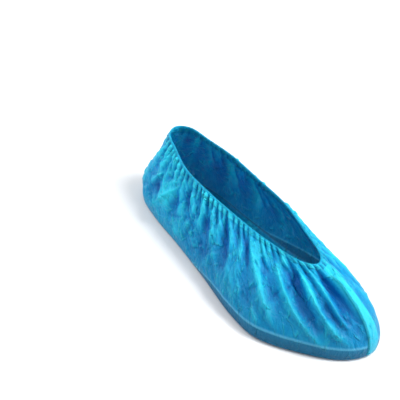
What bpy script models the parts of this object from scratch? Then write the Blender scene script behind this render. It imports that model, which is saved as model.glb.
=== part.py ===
"""A disposable film shoe cover, in its worn form.

One blown-film sheet makes the sole and the walls. Its top edge is folded over an elastic, which
draws it into gathers, and its two ends are welded up the middle of the toe and of the heel.
X runs from heel to toe, Y to the wearer's left, and Z up from the floor.
"""

import math

import bmesh
import bpy
import numpy as np

# Driving dimensions, in metres. The floor is at z = 0 and the sole's middle at x = 0.
SOLE_LENGTH = 0.310
BALL_RIGHT = 0.0656
BALL_LEFT = 0.0596
TOE_SWING = 0.0141
OPENING_LENGTH = 0.2286
OPENING_HALF_WIDTH = 0.0300
RIM_BACK_INSET = 0.0102
RIM_HEIGHT_TOE = 0.0616
RIM_HEIGHT_SIDE = 0.0662
RIM_HEIGHT_HEEL = 0.0755
TOE_BOX_HEIGHT = 0.0524
SIDE_BULGE = 0.0055
HEEL_BULGE = 0.0098
TOE_BULGE = 0.0040
SOLE_EDGE_RISE = 0.0030
SHANK_RISE = 0.0220
RIM_LIFT = 0.0050

FILM = 0.0010
GAP = 0.0003
HEM_ROOM = 0.0004
HEM_WIDTH = 0.0070
ELASTIC_WIDTH = 0.0022
ELASTIC_THICKNESS = 0.0008
WELD_WIDTH = 0.0030
WELD_THICKNESS = 0.0012
FILM_TOP = ELASTIC_WIDTH + 3 * GAP

GATHERS = 38
GATHER_DEPTH = 0.0013
GATHER_REACH = 0.0300
FOLD_DEPTH = 0.0042

# The sole's outline: the share of its length from the heel, and the half widths as shares of the ball's.
SOLE_STATIONS = [
    # along, right, left
    (0.981, 0.322, 0.341),
    (0.910, 0.640, 0.664),
    (0.781, 0.972, 0.985),
    (0.677, 1.000, 1.000),
    (0.484, 0.850, 0.836),
    (0.306, 0.735, 0.760),
    (0.161, 0.662, 0.712),
    (0.058, 0.540, 0.582),
    (0.013, 0.324, 0.350),
]
SWING_STARTS = 0.82

# The opening's rim: the share of its length from the heel, its half width as a share,
# and how much of the toe's and of the heel's rim height it has. The rest is the side's.
RIM_STATIONS = [
    # along, half_width, toe_height, heel_height
    (0.966, 0.350, 1.00, 0.00),
    (0.803, 0.715, 0.75, 0.00),
    (0.633, 0.950, 0.10, 0.00),
    (0.436, 1.000, 0.00, 0.00),
    (0.262, 0.970, 0.00, 0.20),
    (0.130, 0.708, 0.00, 0.55),
    (0.030, 0.440, 0.00, 0.90),
]

# Long folds that run from the rim towards the sole's edge. Places go round from the toe, by the right side,
# as a share of the way. A fold slants evenly and curls at its foot, both as shares of the way round.
# Depth is a share of FOLD_DEPTH, out for a ridge and in for a valley. Start, peak and end are shares
# of the way from the hem down, and width is a share of the way round.
FOLDS = [
    # place, slant, curl, width, depth, start, peak, end
    (0.022, 0.000, -0.030, 0.008, 0.75, 0.00, 0.29, 0.83),
    (0.036, 0.000, -0.050, 0.008, -0.60, 0.00, 0.29, 0.78),
    (0.052, 0.000, -0.070, 0.009, 0.85, 0.00, 0.30, 0.89),
    (0.066, 0.000, -0.055, 0.008, -0.90, 0.00, 0.34, 0.87),
    (0.079, 0.000, -0.056, 0.009, 1.00, 0.00, 0.34, 0.97),
    (0.095, 0.002, -0.040, 0.010, -0.75, 0.00, 0.30, 0.85),
    (0.110, 0.012, -0.040, 0.010, 0.70, 0.00, 0.19, 0.67),
    (0.129, -0.012, -0.020, 0.011, -0.65, 0.00, 0.28, 0.83),
    (0.152, -0.052, -0.010, 0.012, 1.00, 0.00, 0.32, 0.91),
    (0.172, -0.024, 0.000, 0.012, -0.70, 0.02, 0.30, 0.83),
    (0.195, 0.006, 0.000, 0.012, 0.85, 0.00, 0.28, 0.89),
    (0.217, 0.008, 0.000, 0.013, -0.60, 0.02, 0.28, 0.78),
    (0.240, 0.014, 0.000, 0.013, 0.65, 0.00, 0.28, 0.85),
    (0.270, 0.004, 0.000, 0.015, -0.55, 0.02, 0.30, 0.78),
    (0.300, 0.010, 0.000, 0.014, 0.75, 0.00, 0.28, 0.89),
    (0.328, 0.010, 0.000, 0.014, -0.70, 0.02, 0.32, 0.85),
    (0.358, 0.006, 0.000, 0.014, 0.80, 0.00, 0.37, 0.93),
    (0.388, -0.006, 0.000, 0.015, -0.60, 0.04, 0.37, 0.83),
    (0.418, -0.004, 0.000, 0.014, 0.60, 0.00, 0.34, 0.85),
    (0.450, 0.000, 0.000, 0.016, -0.50, 0.04, 0.41, 0.83),
    (0.478, 0.000, 0.000, 0.012, 0.45, 0.02, 0.39, 0.85),
    (0.526, 0.000, 0.000, 0.014, -0.45, 0.04, 0.41, 0.83),
    (0.558, 0.006, 0.000, 0.014, 0.65, 0.00, 0.37, 0.87),
    (0.592, -0.004, 0.000, 0.015, -0.65, 0.04, 0.34, 0.83),
    (0.628, -0.008, 0.000, 0.014, 0.80, 0.00, 0.32, 0.89),
    (0.662, -0.010, 0.000, 0.015, -0.60, 0.04, 0.30, 0.80),
    (0.696, -0.006, 0.000, 0.014, 0.70, 0.00, 0.28, 0.87),
    (0.730, 0.004, 0.000, 0.015, -0.60, 0.04, 0.32, 0.80),
    (0.764, -0.004, 0.000, 0.014, 0.80, 0.00, 0.30, 0.89),
    (0.796, 0.006, 0.000, 0.014, -0.70, 0.02, 0.34, 0.85),
    (0.828, 0.024, 0.000, 0.013, 0.90, 0.00, 0.32, 0.91),
    (0.856, 0.020, 0.010, 0.012, -0.70, 0.00, 0.32, 0.85),
    (0.882, 0.004, 0.030, 0.011, 0.85, 0.00, 0.32, 0.91),
    (0.903, 0.000, 0.040, 0.010, -0.80, 0.00, 0.37, 0.87),
    (0.922, 0.000, 0.050, 0.010, 0.90, 0.00, 0.37, 0.91),
    (0.940, 0.000, 0.050, 0.009, -0.80, 0.00, 0.34, 0.85),
    (0.956, 0.000, 0.045, 0.009, 0.75, 0.00, 0.30, 0.83),
    (0.973, 0.000, 0.024, 0.009, -0.45, 0.00, 0.26, 0.69),
]

COLUMNS = 4 * GATHERS
FOLD_ROWS = (0.30, 0.40, 0.50, 0.61)
WALL_ROWS = (0.72, 0.83, 0.92, 1.0)
GATHER_ROWS = (0.42, 1.0)
TOE_SHARE = 0.17
HEEL_SHARE = 0.12
TOE_CROWDING = 0.42
PROFILE_STEPS = 28


def smooth(value):
    """An eased step from 0 to 1."""
    value = np.clip(value, 0.0, 1.0)
    return value * value * (3.0 - 2.0 * value)


def closed_curve(points, count):
    """Points at equal steps along a smooth closed curve, half of them from the toe round to the heel."""
    points = np.array(points, float)
    size = len(points)
    samples = 40
    curve = []
    for i in range(size):
        before, start, end, after = (points[(i + k) % size] for k in (-1, 0, 1, 2))
        steps = [np.linalg.norm(b - a) ** 0.5 for a, b in ((before, start), (start, end), (end, after))]
        times = np.concatenate([[0.0], np.cumsum(steps)])
        for t in np.linspace(times[1], times[2], samples, endpoint=False):
            a1 = (before * (times[1] - t) + start * (t - times[0])) / (times[1] - times[0])
            a2 = (start * (times[2] - t) + end * (t - times[1])) / (times[2] - times[1])
            a3 = (end * (times[3] - t) + after * (t - times[2])) / (times[3] - times[2])
            b1 = (a1 * (times[2] - t) + a2 * (t - times[0])) / (times[2] - times[0])
            b2 = (a2 * (times[3] - t) + a3 * (t - times[1])) / (times[3] - times[1])
            curve.append((b1 * (times[2] - t) + b2 * (t - times[1])) / (times[2] - times[1]))
    curve = np.array(curve)
    heel = size // 2 * samples
    halves = [curve[: heel + 1], np.vstack([curve[heel:], curve[:1]])]
    places = column_places(count)
    found = []
    for half, first in zip(halves, (0.0, 0.5)):
        lengths = np.concatenate([[0.0], np.cumsum(np.linalg.norm(np.diff(half, axis=0), axis=1))])
        inside = places[(places >= first - 1e-9) & (places < first + 0.5 - 1e-9)]
        wanted = (inside - first) * 2.0 * lengths[-1]
        found.append(np.stack([np.interp(wanted, lengths, half[:, k]) for k in range(3)], axis=1))
    return np.vstack(found)


def column_places(count):
    """Each column's place round the cover: closer at the toe, with the gathers' pitch a little uneven."""
    even = np.arange(count) / count
    crowded = even - TOE_CROWDING * np.sin(2 * math.pi * even) / (2 * math.pi)
    return crowded + 0.0020 * np.sin(2 * math.pi * 9 * even) + 0.0010 * np.sin(2 * math.pi * 14 * even)


def sole_outline():
    """The line where the walls meet the sole, from the toe by the right side to the heel and back."""
    half = SOLE_LENGTH / 2

    def point(along, width):
        swing = TOE_SWING * max(0.0, (along - SWING_STARTS) / (1 - SWING_STARTS))
        return (along * SOLE_LENGTH - half, width + swing, SOLE_EDGE_RISE)

    right = [point(along, -share * BALL_RIGHT) for along, share, _ in SOLE_STATIONS]
    left = [point(along, share * BALL_LEFT) for along, _, share in SOLE_STATIONS]
    return closed_curve([point(1.0, 0.0)] + right + [point(0.0, 0.0)] + left[::-1], COLUMNS)


def rim_outline():
    """The opening's edge, in the same order."""
    back = RIM_BACK_INSET - SOLE_LENGTH / 2

    def point(along, width, toe, heel):
        height = RIM_HEIGHT_SIDE * (1 - toe - heel) + RIM_HEIGHT_TOE * toe + RIM_HEIGHT_HEEL * heel
        return (back + along * OPENING_LENGTH, width * OPENING_HALF_WIDTH, height)

    right = [point(along, -width, toe, heel) for along, width, toe, heel in RIM_STATIONS]
    left = [point(along, width, toe, heel) for along, width, toe, heel in RIM_STATIONS]
    corner, heel_end = point(1.0, 0.0, 1.0, 0.0), point(0.0, 0.0, 0.0, 1.0)
    return closed_curve([corner] + right + [heel_end] + left[::-1], COLUMNS)


def wall_profiles():
    """The smooth wall, [column][step], from the rim down to the sole's edge, and each step's distance."""
    sole, rim = sole_outline(), rim_outline()
    ahead = np.roll(sole, -1, axis=0) - np.roll(sole, 1, axis=0)
    outward = np.stack([ahead[:, 1], -ahead[:, 0], 0 * ahead[:, 0]], axis=1)
    outward /= np.linalg.norm(outward, axis=1)[:, None]
    outward *= np.sign(np.sum(outward * (sole - sole.mean(axis=0))))
    place = column_places(COLUMNS)
    toe = smooth(1 - np.minimum(place, 1 - place) / TOE_SHARE)[:, None]
    heel = smooth(1 - abs(place - 0.5) / HEEL_SHARE)[:, None]
    up = np.array([[0.0, 0.0, 1.0]])
    bulge = SIDE_BULGE * (1 - toe - heel) + HEEL_BULGE * heel + TOE_BULGE * toe
    lower = sole + outward * bulge + up * SHANK_RISE * (1 + 0.4 * toe)
    upper = rim + (sole - rim) * 0.33 + up * RIM_LIFT
    over_toe = rim + (sole - rim) * np.array([[0.55, 0.5, 0.0]])
    over_toe[:, 2] = TOE_BOX_HEIGHT
    upper = upper * (1 - toe) + over_toe * toe
    t = np.linspace(0, 1, PROFILE_STEPS)[None, :, None]
    corners = [p[:, None, :] for p in (rim, upper, lower, sole)]
    wall = (1 - t) ** 3 * corners[0] + 3 * (1 - t) ** 2 * t * corners[1]
    wall = wall + 3 * (1 - t) * t**2 * corners[2] + t**3 * corners[3]
    steps = np.linalg.norm(np.diff(wall, axis=1), axis=2)
    return wall, np.concatenate([np.zeros((COLUMNS, 1)), np.cumsum(steps, axis=1)], axis=1)


def wall_normals(wall):
    """The smooth wall's outward normals."""
    around = np.roll(wall, -1, axis=0) - np.roll(wall, 1, axis=0)
    down = np.gradient(wall, axis=1)
    normals = np.cross(down, around)
    normals /= np.linalg.norm(normals, axis=2)[:, :, None]
    middle = wall.mean(axis=(0, 1))
    return normals * np.sign(np.sum(normals * (wall - middle)))


class Wall:
    """The smooth wall with its gathers and folds."""

    def __init__(self):
        self.points, self.down = wall_profiles()
        self.normals = wall_normals(self.points)
        self.places = column_places(COLUMNS)
        self.length = self.down[:, -1]
        self.pitch = (np.roll(self.places, -1) - np.roll(self.places, 1)) % 1.0 * COLUMNS / 2

    def gather(self, column, distance):
        """How far a gather lifts the film at this distance below the rim: a close gather is a shallow one."""
        wave = math.cos(2 * math.pi * (GATHERS * column / COLUMNS - 0.125))
        strength = 0.72 + 0.28 * math.sin(2.4 * (column // 4) + 0.7)
        rise = min(1.0, max(0.0, (distance - FILM_TOP) / (HEM_WIDTH - FILM_TOP)))
        fade = 1 - float(smooth((distance - HEM_WIDTH) / GATHER_REACH))
        return GATHER_DEPTH * self.pitch[column] * wave * strength * rise * fade

    def fold(self, column, distance):
        """How far the long folds lift the film at this distance below the rim. They start under the hem."""
        place, lift = self.places[column], 0.0
        share = max(0.0, distance - HEM_WIDTH) / (self.length[column] - HEM_WIDTH)
        for centre, slant, curl, width, depth, start, peak, end in FOLDS:
            off = abs(place - centre - slant * share - curl * share**4)
            across = math.exp(-((min(off, 1 - off) / width) ** 2) * 2.0)
            before = float(smooth((share - start) / (peak - start)))
            after = float(smooth((end - share) / (end - peak)))
            lift += depth * across * before * after
        return FOLD_DEPTH * lift

    def point(self, column, distance, offset=0.0):
        """A point at this distance down the wall, with its folds, and an offset outwards from the film's face."""
        column %= COLUMNS
        down = self.down[column]
        base = np.array([np.interp(distance, down, self.points[column, :, k]) for k in range(3)])
        normal = np.array([np.interp(distance, down, self.normals[column, :, k]) for k in range(3)])
        if distance < 0:
            first = self.points[column, 1] - self.points[column, 0]
            base = base + first / np.linalg.norm(first) * distance
        normal /= np.linalg.norm(normal)
        return base + normal * (self.gather(column, distance) + self.fold(column, distance) + offset)


def add_ring(bm, points):
    return [bm.verts.new(point) for point in points]


def join_rings(bm, upper, lower):
    """Faces between two closed rings, the lower with as many points as the upper or half as many.

    The squares' diagonals lean towards the toe on both sides, as the folds do. Two skins with the same
    rings have the same diagonals, so they never cross.
    """
    size = len(lower)
    for k in range(size):
        after = (k + 1) % size
        if len(upper) == size and k < size // 2:
            bm.faces.new((upper[k], upper[after], lower[k]))
            bm.faces.new((upper[after], lower[after], lower[k]))
        elif len(upper) == size:
            bm.faces.new((upper[k], upper[after], lower[after]))
            bm.faces.new((upper[k], lower[after], lower[k]))
        else:
            first, middle, last = upper[2 * k], upper[2 * k + 1], upper[2 * after]
            bm.faces.new((first, middle, lower[k]))
            bm.faces.new((middle, lower[after], lower[k]))
            bm.faces.new((middle, last, lower[after]))


def finished(name, bm, collection, material):
    """The bmesh as an object with its faces pointing out."""
    bmesh.ops.recalc_face_normals(bm, faces=bm.faces)
    mesh = bpy.data.meshes.new(name)
    bm.to_mesh(mesh)
    bm.free()
    mesh.materials.append(material)
    mesh.shade_smooth()
    obj = bpy.data.objects.new(name, mesh)
    collection.objects.link(obj)
    return obj


def thicken(obj, thickness, offset):
    """Gives an open sheet its wall: offset -1 thickens it behind its faces, and 1 in front of them."""
    modifier = obj.modifiers.new("Film", "SOLIDIFY")
    modifier.thickness = thickness
    modifier.offset = offset
    modifier.use_even_offset = True
    modifier.use_quality_normals = True


def film_material(name, red, green, blue, roughness):
    material = bpy.data.materials.new(name)
    material.use_nodes = True
    shader = material.node_tree.nodes["Principled BSDF"]
    shader.inputs["Base Color"].default_value = (red, green, blue, 1.0)
    shader.inputs["Roughness"].default_value = roughness
    shader.inputs["Metallic"].default_value = 0.0
    return material


def film_body(wall, collection, material):
    """The sheet that makes the walls and the sole, from inside the hem down and under the foot."""
    bm = bmesh.new()
    below_hem = [HEM_WIDTH + share * (GATHER_REACH - HEM_WIDTH) * 0.5 for share in GATHER_ROWS]
    rings = [add_ring(bm, [wall.point(k, d) for k in range(COLUMNS)]) for d in [FILM_TOP, HEM_WIDTH] + below_hem]
    for share in FOLD_ROWS:
        rings.append(add_ring(bm, [wall.point(k, share * wall.length[k]) for k in range(COLUMNS)]))
    coarse = range(0, COLUMNS, 2)
    for share in WALL_ROWS:
        rings.append(add_ring(bm, [wall.point(k, share * wall.length[k]) for k in coarse]))
    edge = [wall.points[k, -1] for k in coarse]
    inward = [-wall.normals[k, -1] for k in coarse]
    for inset, height in ((0.3, 0.3), (1.2, 0.0)):
        ring = []
        for point, normal in zip(edge, inward):
            x, y = point[:2] + normal[:2] * inset * SOLE_EDGE_RISE
            ring.append((x, y, height * SOLE_EDGE_RISE))
        rings.append(add_ring(bm, ring))
    for upper, lower in zip(rings, rings[1:]):
        join_rings(bm, upper, lower)
    bm.faces.new(rings[-1])
    obj = finished("film_body", bm, collection, material)
    thicken(obj, FILM, -1)
    return obj


def elastic_hem(wall, collection, material):
    """The sheet's edge, folded over the elastic and down the other side."""
    bm = bmesh.new()
    outside = HEM_ROOM
    inside = -(FILM * 1.5 + GAP)
    legs = []
    for offset in (outside, inside):
        leg = [add_ring(bm, [wall.point(k, d, offset) for k in range(COLUMNS)]) for d in (0.0, FILM_TOP, HEM_WIDTH)]
        for upper, lower in zip(leg, leg[1:]):
            join_rings(bm, upper, lower)
        legs.append(leg)
    join_rings(bm, legs[0][0], legs[1][0])
    obj = finished("elastic_hem", bm, collection, material)
    thicken(obj, FILM, 1)
    return obj


def elastic_band(wall, collection, material):
    """The flat elastic thread in the hem's fold, drawn smooth."""
    bm = bmesh.new()
    front = HEM_ROOM - ELASTIC_THICKNESS / 2
    back = front - ELASTIC_THICKNESS
    top, bottom = GAP, ELASTIC_WIDTH
    section = [(top, front), (bottom, front), (bottom, back), (top, back)]
    rings = [add_ring(bm, [wall.point(k, d, off) for k in range(COLUMNS)]) for d, off in section]
    for upper, lower in zip(rings, rings[1:] + rings[:1]):
        join_rings(bm, upper, lower)
    return finished("elastic_band", bm, collection, material)


def weld(name, column, wall, collection, material):
    """The welded end of the sheet: a low rib from the hem down to the sole's edge."""
    bm = bmesh.new()
    steps = 14
    length = wall.length[column]
    half = WELD_WIDTH / 2
    rows = []
    for step in range(steps):
        distance = HEM_WIDTH + 4 * GAP + (length - HEM_WIDTH - 5 * GAP) * step / (steps - 1)
        low = wall.point(column, distance, GAP)
        high = wall.point(column, distance, GAP + WELD_THICKNESS)
        side = wall.points[(column + 1) % COLUMNS, 0] - wall.points[column - 1, 0]
        side /= np.linalg.norm(side)
        rows.append([bm.verts.new(p) for p in (low - side * half, high - side * half * 0.5, high + side * half * 0.5, low + side * half)])
    for upper, lower in zip(rows, rows[1:]):
        for k in range(4):
            bm.faces.new((upper[k], upper[(k + 1) % 4], lower[(k + 1) % 4], lower[k]))
    bm.faces.new(rows[0])
    bm.faces.new(rows[-1])
    return finished(name, bm, collection, material)


def centre_on_origin(objects):
    """Moves the whole cover so that the middle of its box is over the origin."""
    graph = bpy.context.evaluated_depsgraph_get()
    corners = []
    for obj in objects:
        mesh = obj.evaluated_get(graph).to_mesh()
        corners += [tuple(v.co) for v in mesh.vertices]
    corners = np.array(corners)
    middle = (corners.min(axis=0) + corners.max(axis=0)) / 2
    for obj in objects:
        for vertex in obj.data.vertices:
            vertex.co.x -= middle[0]
            vertex.co.y -= middle[1]


def main():
    for obj in list(bpy.data.objects):
        bpy.data.objects.remove(obj)
    collection = bpy.data.collections.new("shoe_cover")
    bpy.context.scene.collection.children.link(collection)
    film = film_material("Blue film", 0.02, 0.36, 0.68, 0.35)
    hem_film = film_material("Blue film, doubled", 0.02, 0.30, 0.62, 0.38)
    thread = film_material("Pale elastic", 0.62, 0.78, 0.86, 0.7)
    wall = Wall()
    pieces = [
        film_body(wall, collection, film),
        elastic_hem(wall, collection, hem_film),
        elastic_band(wall, collection, thread),
        weld("toe_weld", 0, wall, collection, hem_film),
        weld("heel_weld", COLUMNS // 2, wall, collection, hem_film),
    ]
    bpy.context.view_layer.update()
    centre_on_origin(pieces)


main()
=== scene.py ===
"""The looks of a disposable film shoe cover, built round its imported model."""

import math

import bmesh
import bpy
import numpy as np
from bpy.props import FloatProperty, FloatVectorProperty, IntProperty, PointerProperty, StringProperty
from bpy.types import Operator, Panel, PropertyGroup
from mathutils import Matrix, Vector


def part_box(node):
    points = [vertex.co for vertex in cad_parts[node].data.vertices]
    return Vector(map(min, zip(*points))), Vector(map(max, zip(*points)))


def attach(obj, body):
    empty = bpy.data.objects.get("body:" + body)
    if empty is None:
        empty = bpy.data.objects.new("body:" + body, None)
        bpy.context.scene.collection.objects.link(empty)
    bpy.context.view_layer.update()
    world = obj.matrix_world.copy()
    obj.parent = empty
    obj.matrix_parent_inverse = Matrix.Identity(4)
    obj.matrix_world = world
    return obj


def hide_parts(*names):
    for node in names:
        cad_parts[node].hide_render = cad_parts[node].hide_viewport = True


bl_info = {
    "name": "Film shoe cover",
    "version": (1, 0, 0),
    "blender": (4, 5, 0),
    "location": "3D View > Sidebar > Shoe cover",
    "description": "Builds a gathered film overshoe with its elastic hem and welds",
    "category": "Add Mesh",
}

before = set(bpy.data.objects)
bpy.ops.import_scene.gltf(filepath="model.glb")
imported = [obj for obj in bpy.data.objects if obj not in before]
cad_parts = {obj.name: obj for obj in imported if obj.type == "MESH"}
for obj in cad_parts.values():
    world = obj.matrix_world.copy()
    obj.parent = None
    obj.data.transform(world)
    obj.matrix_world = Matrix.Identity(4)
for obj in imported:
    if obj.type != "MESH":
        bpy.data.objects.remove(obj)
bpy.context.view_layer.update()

# The sole's outline: the share of its length from the heel, and the half widths as shares of the ball's.
SOLE_STATIONS = [
    # along, right, left
    (0.981, 0.322, 0.341),
    (0.910, 0.640, 0.664),
    (0.781, 0.972, 0.985),
    (0.677, 1.000, 1.000),
    (0.484, 0.850, 0.836),
    (0.306, 0.735, 0.760),
    (0.161, 0.662, 0.712),
    (0.058, 0.540, 0.582),
    (0.013, 0.324, 0.350),
]

# The opening's rim: the share of its length from the heel, its half width as a share,
# and how much of the toe's and of the heel's rim height it has. The rest is the side's.
RIM_STATIONS = [
    # along, half_width, toe_height, heel_height
    (0.966, 0.350, 1.00, 0.00),
    (0.803, 0.715, 0.75, 0.00),
    (0.633, 0.950, 0.10, 0.00),
    (0.436, 1.000, 0.00, 0.00),
    (0.262, 0.970, 0.00, 0.20),
    (0.130, 0.708, 0.00, 0.55),
    (0.030, 0.440, 0.00, 0.90),
]

# Long folds from the rim towards the sole. Places go round from the toe, by the right side, as a share
# of the way. A fold slants evenly and curls at its foot. Depth is a share of the fold depth, out for a
# ridge and in for a valley. Start, peak and end are shares of the way down, width one of the way round.
FOLDS = [
    # place, slant, curl, width, depth, start, peak, end
    (0.000, 0.000, 0.000, 0.006, 0.45, 0.04, 0.30, 0.96),
    (0.014, 0.000, -0.010, 0.010, -1.25, 0.00, 0.22, 0.82),
    (0.032, 0.000, -0.032, 0.005, 0.80, 0.02, 0.35, 0.82),
    (0.044, 0.000, -0.044, 0.008, -0.60, 0.05, 0.42, 0.84),
    (0.057, 0.000, -0.048, 0.006, 1.05, 0.02, 0.36, 0.92),
    (0.079, 0.000, -0.056, 0.013, -0.90, 0.04, 0.40, 0.92),
    (0.102, -0.004, -0.060, 0.006, 1.15, 0.02, 0.40, 1.00),
    (0.118, 0.000, -0.046, 0.011, -0.70, 0.06, 0.36, 0.88),
    (0.134, 0.004, -0.046, 0.006, 0.75, 0.03, 0.30, 0.84),
    (0.156, -0.036, -0.014, 0.007, 0.90, 0.04, 0.38, 0.92),
    (0.174, -0.020, 0.000, 0.013, -0.50, 0.08, 0.36, 0.84),
    (0.197, 0.006, 0.000, 0.007, 0.60, 0.03, 0.34, 0.90),
    (0.217, 0.008, 0.000, 0.012, -0.38, 0.08, 0.34, 0.80),
    (0.240, 0.024, 0.000, 0.007, 0.45, 0.06, 0.34, 0.86),
    (0.268, 0.030, 0.000, 0.013, -0.36, 0.08, 0.36, 0.80),
    (0.292, 0.040, 0.000, 0.007, 0.52, 0.04, 0.34, 0.90),
    (0.322, 0.060, 0.000, 0.012, -0.45, 0.08, 0.38, 0.86),
    (0.336, 0.084, 0.000, 0.006, 1.00, 0.06, 0.42, 0.98),
    (0.378, 0.060, 0.000, 0.012, -0.60, 0.10, 0.42, 0.84),
    (0.402, 0.040, 0.000, 0.006, 0.60, 0.06, 0.40, 0.86),
    (0.436, 0.020, 0.000, 0.012, -0.35, 0.10, 0.46, 0.84),
    (0.462, 0.006, 0.000, 0.008, 0.30, 0.08, 0.44, 0.86),
    (0.526, 0.000, 0.000, 0.012, -0.35, 0.10, 0.46, 0.84),
    (0.558, 0.006, 0.000, 0.009, 0.50, 0.06, 0.42, 0.88),
    (0.592, -0.004, 0.000, 0.013, -0.60, 0.10, 0.40, 0.84),
    (0.628, -0.024, 0.000, 0.008, 0.62, 0.04, 0.38, 0.90),
    (0.662, -0.022, 0.000, 0.013, -0.55, 0.10, 0.36, 0.82),
    (0.696, -0.030, 0.000, 0.008, 0.60, 0.06, 0.34, 0.88),
    (0.730, -0.010, 0.000, 0.013, -0.55, 0.10, 0.38, 0.82),
    (0.764, -0.012, 0.000, 0.008, 0.66, 0.04, 0.36, 0.90),
    (0.796, 0.006, 0.000, 0.012, -0.60, 0.08, 0.40, 0.86),
    (0.828, 0.024, 0.000, 0.008, 0.66, 0.04, 0.38, 0.92),
    (0.856, 0.020, 0.010, 0.010, -0.42, 0.06, 0.38, 0.86),
    (0.882, 0.004, 0.030, 0.007, 0.50, 0.04, 0.38, 0.92),
    (0.903, 0.000, 0.040, 0.009, -0.34, 0.06, 0.42, 0.88),
    (0.922, 0.000, 0.050, 0.007, 0.38, 0.03, 0.42, 0.92),
    (0.940, 0.000, 0.050, 0.008, -0.36, 0.05, 0.40, 0.86),
    (0.956, 0.000, 0.045, 0.006, 0.40, 0.03, 0.36, 0.84),
    (0.973, 0.000, 0.024, 0.008, -0.43, 0.05, 0.32, 0.72),
]

# Small creases strewn over the wall: their number, the places round it that they lie between, and the
# least and most of each of their sizes. Width and reach are in metres, across and along a crease, and
# depth goes either way. Lean is the most that a crease goes round for each metre that it goes down.
CREASES = [
    # number, places, width, reach, lean, depth
    (70, (0.00, 0.28), (0.0040, 0.0090), (0.020, 0.044), 0.90, (0.0006, 0.0014)),
    (70, (0.28, 0.46), (0.0040, 0.0080), (0.026, 0.052), 1.60, (0.0008, 0.0017)),
    (40, (0.46, 0.62), (0.0040, 0.0080), (0.024, 0.050), 1.30, (0.0005, 0.0010)),
    (70, (0.62, 0.97), (0.0040, 0.0090), (0.020, 0.044), 0.90, (0.0004, 0.0008)),
    (260, (0.00, 0.30), (0.0014, 0.0030), (0.008, 0.022), 1.60, (0.0005, 0.0012)),
    (160, (0.16, 0.34), (0.0014, 0.0030), (0.012, 0.030), 1.20, (0.0005, 0.0011)),
    (200, (0.28, 0.47), (0.0014, 0.0030), (0.010, 0.026), 2.00, (0.0004, 0.0010)),
    (120, (0.47, 0.66), (0.0016, 0.0036), (0.008, 0.022), 1.80, (0.0002, 0.0006)),
    (200, (0.64, 0.99), (0.0016, 0.0034), (0.007, 0.020), 1.60, (0.0002, 0.0005)),
]

# The rings that take the film in under the foot, to a middle line that stops short of both ends.
SOLE_RINGS = [
    # share of the way in, height
    (0.02, 0.0010),
    (0.05, 0.0001),
    (0.20, 0.0),
    (0.40, 0.0),
    (0.60, 0.0),
    (0.80, 0.0),
    (0.93, 0.0),
]
MIDDLE_FROM_HEEL = 0.045
MIDDLE_FROM_TOE = 0.055
MIDDLE_ACROSS = 0.001

# The smooth wall. Each column is a curve with two handles: the lower one stands over the sole's edge, and
# the upper one lies on the way from the rim to the sole. At the toe the lower one is higher by a share of
# its rise, and the upper one has its own shares of the way along, across and down.
SOLE_EDGE_HEIGHT = 0.003
LOWER_RISE = 0.022
LOWER_EXTRA_AT_TOE = 0.4
UPPER_SHARE = 0.33
UPPER_RISE = 0.005
UPPER_SHARE_AT_TOE = (0.55, 0.5, 0.0)
# How far the toe's and the heel's form reach to either side, as shares of the way round, and the share of
# the sole's length where the toe begins to swing left.
TOE_SPAN = 0.17
HEEL_SPAN = 0.12
SWING_STARTS = 0.82
# Steps of the curves, between two stations and down the wall.
STATION_STEPS = 40
WALL_STEPS = 60

# The sheet's size round the wall and down it, which turns a size in metres into a share of it.
WALL_ROUND = 0.62
WALL_DOWN = 0.085

# The film's mesh starts this far below the rim, and its rows crowd towards the rim by this power.
FILM_STARTS = 0.0031
ROW_CROWDING = 1.15

# How sharply the film bends at the back of a long fold, in its valley and at a crease.
RIDGE_BEND = 1.9
VALLEY_BEND = 1.1
CREASE_BEND = 2.2
# The shares of the way down that the creases' middles lie between.
CREASES_DOWN = (0.06, 0.92)

# The gathers. Their pitch shifts by a share of the way round, a number of times round. The height of
# each and how far down it reaches are drawn between two values. Below the fine tucks come their pairs
# and then broad waves, each with its start, its rise, its end and its fade in metres below the rim.
PITCH_SHIFTS = [(0.0024, 7), (0.0016, 17), (0.0008, 31)]
TUCK_HEIGHTS = (0.60, 1.25)
TUCK_REACHES = (0.004, 0.014)
TUCK_STARTS = 0.0006
TUCK_FADE = 0.016
PAIRS = (0.006, 0.010, 0.022, 0.028)
BROAD_WAVES = (0.012, 0.016, 0.032, 0.040)
# Stretches of the way round, with a middle, a reach to either side and the ramp at their ends: where the
# tucks are flatter, where the film is painted lighter, as painted light, and where it is painted duller, as
# painted shade.
FLATTER_TUCKS = (0.53, 0.10, 0.05)
PAINTED_LIGHT_STRETCH = (0.43, 0.13, 0.08)
PAINTED_SHADE_STRETCH = (0.22, 0.09, 0.05)

# The toe weld's edge is lapped over to the left: it lies higher there, and its tint is lighter, partly as
# doubled film and partly as a painted highlight.
LAP_STARTS = 0.981
LAP_RAMP = 0.0015
LAP_HEIGHT = 0.0004
LAP_DOUBLED_AND_HIGHLIGHT = 0.55
# The painted dark edge round the sole, painted shade with the sole seen through, fades out behind this
# share of the way round, and at the lap: the fall that it goes by is held back there by the last share.
EDGE_FADES = 0.21
EDGE_RAMP = 0.16
EDGE_FADE = 0.2

# The settling: its frames, how firmly the film is tied to its form, how often its points' steps are
# smoothed, and how far a point may go.
SETTLING_FRAMES = 16
SETTLING_HOLD = 0.38
SETTLING_PASSES = 2
SETTLING_LIMIT = 0.004

# The hem's fold. Its outer film and its inner film each have a place out from the wall, a place below the
# rim where the turn meets them and a number of rows. The turn's points are places below the rim and out.
HEM_OUTSIDE = 0.00040
HEM_OUTSIDE_STARTS = 0.0010
HEM_OUTSIDE_ROWS = 11
HEM_TURN = [(0.0003, 0.00035), (-0.0002, 0.0001), (-0.0004, -0.0004), (-0.0001, -0.0009)]
HEM_INSIDE = -0.0012
HEM_INSIDE_STARTS = 0.0008
HEM_INSIDE_ROWS = 8
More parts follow.
